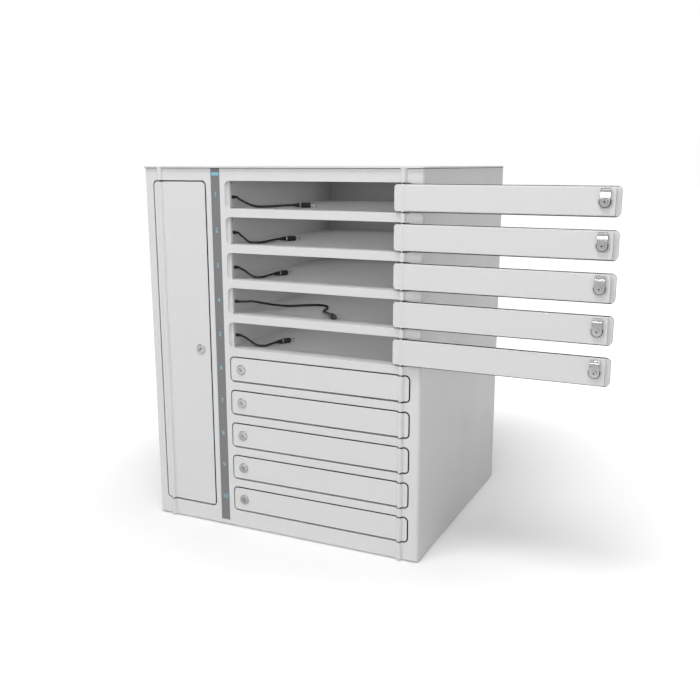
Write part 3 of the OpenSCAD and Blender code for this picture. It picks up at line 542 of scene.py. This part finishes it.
# Near-black colour of the pieces that are painted shade
SHADE_BLACK = (0.01, 0.01, 0.01, 1)
RIM_H = 2.6 * MM
CORE_FACE = -2.1 * MM
KEY_SLOT, KEY_SLOT_SINK, KEY_SLOT_T = (1.9 * MM, 7.7 * MM), 1.1 * MM, 1 * MM
KEY_SLOT_TURN = math.radians(45)
BOLT_FACE = 22.25 * MM
DOOR_T = 13 * MM
# A black ring round the lock's body, under the cam plate: painted shadow of the cam
SHADE_RING_R, SHADE_RING_ENDS = 10.3 * MM, (16.1 * MM, 16.9 * MM)
BOLT_R, LOCK_R = 5.05 * MM, 9.05 * MM
WASHER_Z, WASHER_T, WASHER_R = 19.03 * MM, 0.8 * MM, 6.4 * MM
CROSS, CROSS_T = (5.2 * MM, 1.1 * MM), 0.1 * MM
LOCK_EDGE, LOCK_EDGE_STEPS = 0.3 * MM, 2
DOME_IN, DOME_OUT, DOME_H, DOME_POWER = 6.08 * MM, 11.4 * MM, 2.75 * MM, 2.6
DOME_STEPS, DOME_TURN_STEPS, RING_TURN_STEPS = 14, 64, 48
chrome = plain_finish("lock_chrome", CHROME, grain=0.5 * MM, depth=0.001 * MM, rough=(0.07, 0.14),
                      metallic=1.0)
painted_shade_black = plain_finish("painted_shade_black", SHADE_BLACK, grain=0.4 * MM, depth=0.01 * MM, rough=(0.5, 0.7))
steel = plain_finish("cam_steel", CAM_STEEL, grain=0.25 * MM, depth=0.003 * MM, rough=(0.14, 0.2),
                     metallic=1.0)
locks = {f"lock_barrel_{i}": (f"door_{i}", f"lock_cam_{i}", f"cam_{i}") for i in range(1, BAYS + 1)}
locks["service_lock_barrel"] = ("service_door", "service_lock_cam", "service_cam")


def lock_frame(name):
    """A lock's own frame: its axis from the door's face inwards as Z, with -Y pointing up."""
    low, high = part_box(name)
    way = 1 if (low.y + high.y) / 2 > front_plane else -1
    face = low.y + RIM_H if way == 1 else high.y - RIM_H
    place = Matrix.Translation(((low.x + high.x) / 2, face, (low.z + high.z) / 2))
    return place @ Matrix(((way, 0, 0, 0), (0, 0, way, 0), (0, -1, 0, 0), (0, 0, 0, 1)))


def boxes(name, sizes, place, material, turn=0.0):
    """One mesh of boxes, each given by its middle and its size, turned round Z and put in place."""
    bm = bmesh.new()
    for middle, size in sizes:
        bmesh.ops.create_cube(bm, size=1, matrix=Matrix.Translation(middle) @ Matrix.Diagonal((*size, 1)))
    bm.transform(place @ Matrix.Rotation(turn, 4, "Z"))
    bmesh.ops.recalc_face_normals(bm, faces=bm.faces)
    return new_piece(name, mesh_of(name, bm, [material]))


def turned_piece(name, outline, steps, place, material, body):
    """A piece turned round a lock's axis from an outline of (radius, height)."""
    mesh = turned(name, [(r, z, 0) for r, z in outline], steps, [material])
    mesh.transform(place)
    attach(new_piece(name, mesh), body)


def ring(name, inner, outer, start, end, place, material, body):
    """A flat ring round a lock's axis, such as a washer."""
    outline = [(inner, start), (outer, start), (outer, end), (inner, end), (inner, start)]
    turned_piece(name, outline, RING_TURN_STEPS, place, material, body)


def domed_rim(name, place, body):
    """The chrome dome of the rim, from the core's edge out to the door's face."""
    outline = [(DOME_IN, CORE_FACE)]
    for k in range(DOME_STEPS + 1):
        across = math.sin(math.pi / 2 * k / DOME_STEPS)
        outline.append((DOME_IN + (DOME_OUT - DOME_IN) * across,
                        -DOME_H * (1 - across ** DOME_POWER) ** (1 / DOME_POWER)))
    turned_piece(name, outline, DOME_TURN_STEPS, place, chrome, body)


def cross_recess(name, place, z, size, body):
    """A dark cross in a screw's head, painted shade that stands for its cross recess."""
    arm, width = size
    arms = [((0, 0, z), (arm, width, CROSS_T)), ((0, 0, z), (width, arm, CROSS_T))]
    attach(boxes(name, arms, place, painted_shade_black), body)


for name, (door, cam, cam_body) in locks.items():
    place = lock_frame(name)
    inwards = place.to_3x3() @ Vector((0, 0, 1))
    skin = skin_of(name)
    round_edges(skin, sharp, LOCK_EDGE, LOCK_EDGE_STEPS)
    for face in skin.faces:
        depth = (face.calc_center_median() - place.translation).dot(inwards)
        face.material_index = 1 if depth > DOOR_T - 1 * MM else 0
    dress(name, door, skin, [chrome, steel])
    skin = skin_of(cam)
    round_edges(skin, sharp, LOCK_EDGE, LOCK_EDGE_STEPS)
    dress(cam, cam_body, skin, [steel])
    domed_rim(f"{name}_dome", place, door)
    # Painted shadow of the cam plate, as a black ring on the nut
    ring(f"{name}_shade_ring", LOCK_R, SHADE_RING_R, *SHADE_RING_ENDS, place, painted_shade_black, door)
    # Painted shade in the key slot: a black plate sunk a little below the core's face
    key_slot = ((0, 0, CORE_FACE + KEY_SLOT_SINK), (*KEY_SLOT, KEY_SLOT_T))
    slot_turn = KEY_SLOT_TURN if door == "service_door" else -KEY_SLOT_TURN
    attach(boxes(f"{name}_keyhole", [key_slot], place, painted_shade_black, slot_turn), cam_body)
    ring(f"{cam}_washer", BOLT_R, WASHER_R, WASHER_Z, WASHER_Z + WASHER_T, place, steel, cam_body)
    cross_recess(f"{cam}_cross", place, BOLT_FACE, CROSS, cam_body)

# Grommets, power strip, adapters and inlet
# Black rubber grommets line the outlets. Behind the service door a dark socket strip and black
# plug-in adapters feed the leads, and a moulded inlet takes the mains at the back.
RUBBER = (0.02, 0.02, 0.02, 1)
MOULDED_BLACK = (0.022, 0.022, 0.024, 1)
SOCKET_GREY = (0.06, 0.06, 0.065, 1)
ZINC = (0.6, 0.61, 0.62, 1)
MOULD_EDGE, MOULD_LONG = 0.9 * MM, 12 * MM
rubber = plain_finish("grommet_rubber", RUBBER, grain=0.5 * MM, depth=0.02 * MM, rough=(0.55, 0.75))
moulded = plain_finish("moulded_black", MOULDED_BLACK, grain=0.7 * MM, depth=0.03 * MM,
                       rough=(0.42, 0.58))
sockets = plain_finish("socket_plastic", SOCKET_GREY, grain=0.7 * MM, depth=0.02 * MM,
                       rough=(0.38, 0.5))
zinc = plain_finish("zinc_plate", ZINC, grain=0.4 * MM, depth=0.006 * MM, rough=(0.24, 0.36),
                    metallic=1.0)


def long_and_sharp(edge):
    """True for a long outer edge of a moulding."""
    return sharp(edge) and edge.is_convex and edge.calc_length() > MOULD_LONG


for name, finish, slot in (("power_strip", sockets, "socket_plastic"),
                           ("power_adapters", moulded, "black_plastic"),
                           ("mains_inlet", moulded, "black_plastic")):
    skin = skin_of(name)
    round_edges(skin, long_and_sharp, MOULD_EDGE, BEND_STEPS)
    dress(name, "cabinet", skin, [finish])
paint_node("cable_grommets", rubber)
paint_node("panel_screws", zinc)

# Screws of the rear panel
# Ten plated screws with a cross recess hold the rear panel to the folded flanges. Each recess is drawn
# as a thin black cross, painted shade.
SCREW_CROSS = (4.6 * MM, 1 * MM)
SCREW_ROWS, SCREW_HEAD_R = 5, 4 * MM
screw_low, screw_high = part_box("panel_screws")
lowest, highest = screw_low.z + SCREW_HEAD_R, screw_high.z - SCREW_HEAD_R
facing_back = Matrix.Rotation(-math.pi / 2, 4, "X")
for side, x in (("left", screw_low.x + SCREW_HEAD_R), ("right", screw_high.x - SCREW_HEAD_R)):
    for k in range(SCREW_ROWS):
        z = lowest + k * (highest - lowest) / (SCREW_ROWS - 1)
        place = Matrix.Translation((x, screw_high.y, z)) @ facing_back
        cross_recess(f"screw_cross_{side}_{k}", place, 0, SCREW_CROSS, "cabinet")

# Floor and light
# White floor and surroundings, which the camera and metal see as white. The floor keeps the soft
# shadow. A large lamp stands at the front left, a fill at the right and one overhead. Two small lamps
# sparkle in the locks, and a faint one hangs under the roof of each open bay.
WHITE = (1, 1, 1, 1)
FLOOR_WHITE = (0.8, 0.8, 0.8, 1)
NEAR_LIFT, FAR_LIFT = 0.21, 0.78
LIFT_RANGE = (0.4, 1.2)
WORLD_LEVEL = 0.31
FLOOR_ROUGHNESS, FLOOR_REACH = 0.9, 30
BAY_LAMP_IN, BAY_LAMP_BACK, BAY_LAMP_SIZE, BAY_LAMP_POWER = 0.21, 0.26, (0.36, 0.38), 0.095


def seen_directly(tree):
    """A value that is 1 for what the camera sees directly or in metal, and 0 for other light."""
    path = tree.nodes.new("ShaderNodeLightPath")
    seen = tree.nodes.new("ShaderNodeMath")
    seen.operation = "MAXIMUM"
    tree.links.new(path.outputs["Is Camera Ray"], seen.inputs[0])
    tree.links.new(path.outputs["Is Glossy Ray"], seen.inputs[1])
    return seen.outputs[0]


def between(tree, value, low, high, start=0.0, end=1.0):
    """Maps a value from start and end to low and high."""
    level = tree.nodes.new("ShaderNodeMapRange")
    level.inputs["From Min"].default_value = start
    level.inputs["From Max"].default_value = end
    level.inputs["To Min"].default_value = low
    level.inputs["To Max"].default_value = high
    tree.links.new(value, level.inputs["Value"])
    return level.outputs["Result"]


floor_paint, tree, shader = new_material("floor")
shader.inputs["Base Color"].default_value = FLOOR_WHITE
shader.inputs["Roughness"].default_value = FLOOR_ROUGHNESS
shader.inputs["Emission Color"].default_value = WHITE
place = tree.nodes.new("ShaderNodeTexCoord")
reach = tree.nodes.new("ShaderNodeVectorMath")
reach.operation = "LENGTH"
tree.links.new(place.outputs["Object"], reach.inputs[0])
lift = between(tree, reach.outputs["Value"], NEAR_LIFT, FAR_LIFT, *LIFT_RANGE)
shown = tree.nodes.new("ShaderNodeMath")
shown.operation = "MULTIPLY"
tree.links.new(lift, shown.inputs[0])
tree.links.new(seen_directly(tree), shown.inputs[1])
tree.links.new(shown.outputs[0], shader.inputs["Emission Strength"])
bm = bmesh.new()
bmesh.ops.create_grid(bm, x_segments=1, y_segments=1, size=FLOOR_REACH)
new_piece("floor", mesh_of("floor", bm, [floor_paint]))

world = bpy.data.worlds.new("surroundings")
bpy.context.scene.world = world
world.use_nodes = True
tree = world.node_tree
background = tree.nodes["Background"]
background.inputs["Color"].default_value = WHITE
tree.links.new(between(tree, seen_directly(tree), WORLD_LEVEL, 1), background.inputs["Strength"])


def soft_lamp(name, place, target, size, power, in_metal=True):
    """An area lamp that the camera doesn't see. Its size is its width and height."""
    lamp = new_piece(name, bpy.data.lights.new(name, "AREA"))
    lamp.data.shape = "RECTANGLE"
    lamp.data.size, lamp.data.size_y = size
    lamp.data.energy = power
    lamp.location = place
    lamp.rotation_euler = (Vector(target) - lamp.location).to_track_quat("-Z", "Y").to_euler()
    lamp.visible_camera = False
    lamp.visible_glossy = in_metal


MIDDLE = (0, 0, 0.45)
soft_lamp("key_lamp", (-4.6, -5.2, 2.9), MIDDLE, (2.6, 2.6), 106, in_metal=False)
soft_lamp("fill_lamp", (3.4, -3.0, 1.2), MIDDLE, (0.9, 0.9), 13)
soft_lamp("top_lamp", (0.2, -1.3, 3.0), MIDDLE, (1.3, 0.9), 38)
soft_lamp("right_spark", (1.5, -2.6, 2.3), MIDDLE, (0.45, 0.45), 7)
soft_lamp("front_spark", (0.2, -3.4, 1.3), MIDDLE, (0.25, 0.25), 3.2)
for i in range(1, OPEN_BAYS + 1):
    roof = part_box(f"door_panel_{i}")[1].z
    hung = Vector((wall_face + BAY_LAMP_IN, front_plane + BAY_LAMP_BACK, roof))
    soft_lamp(f"bay_lamp_{i}", hung, hung - Vector((0, 0, MM)), BAY_LAMP_SIZE, BAY_LAMP_POWER,
              in_metal=False)

bpy.context.scene.view_settings.view_transform = "Standard"
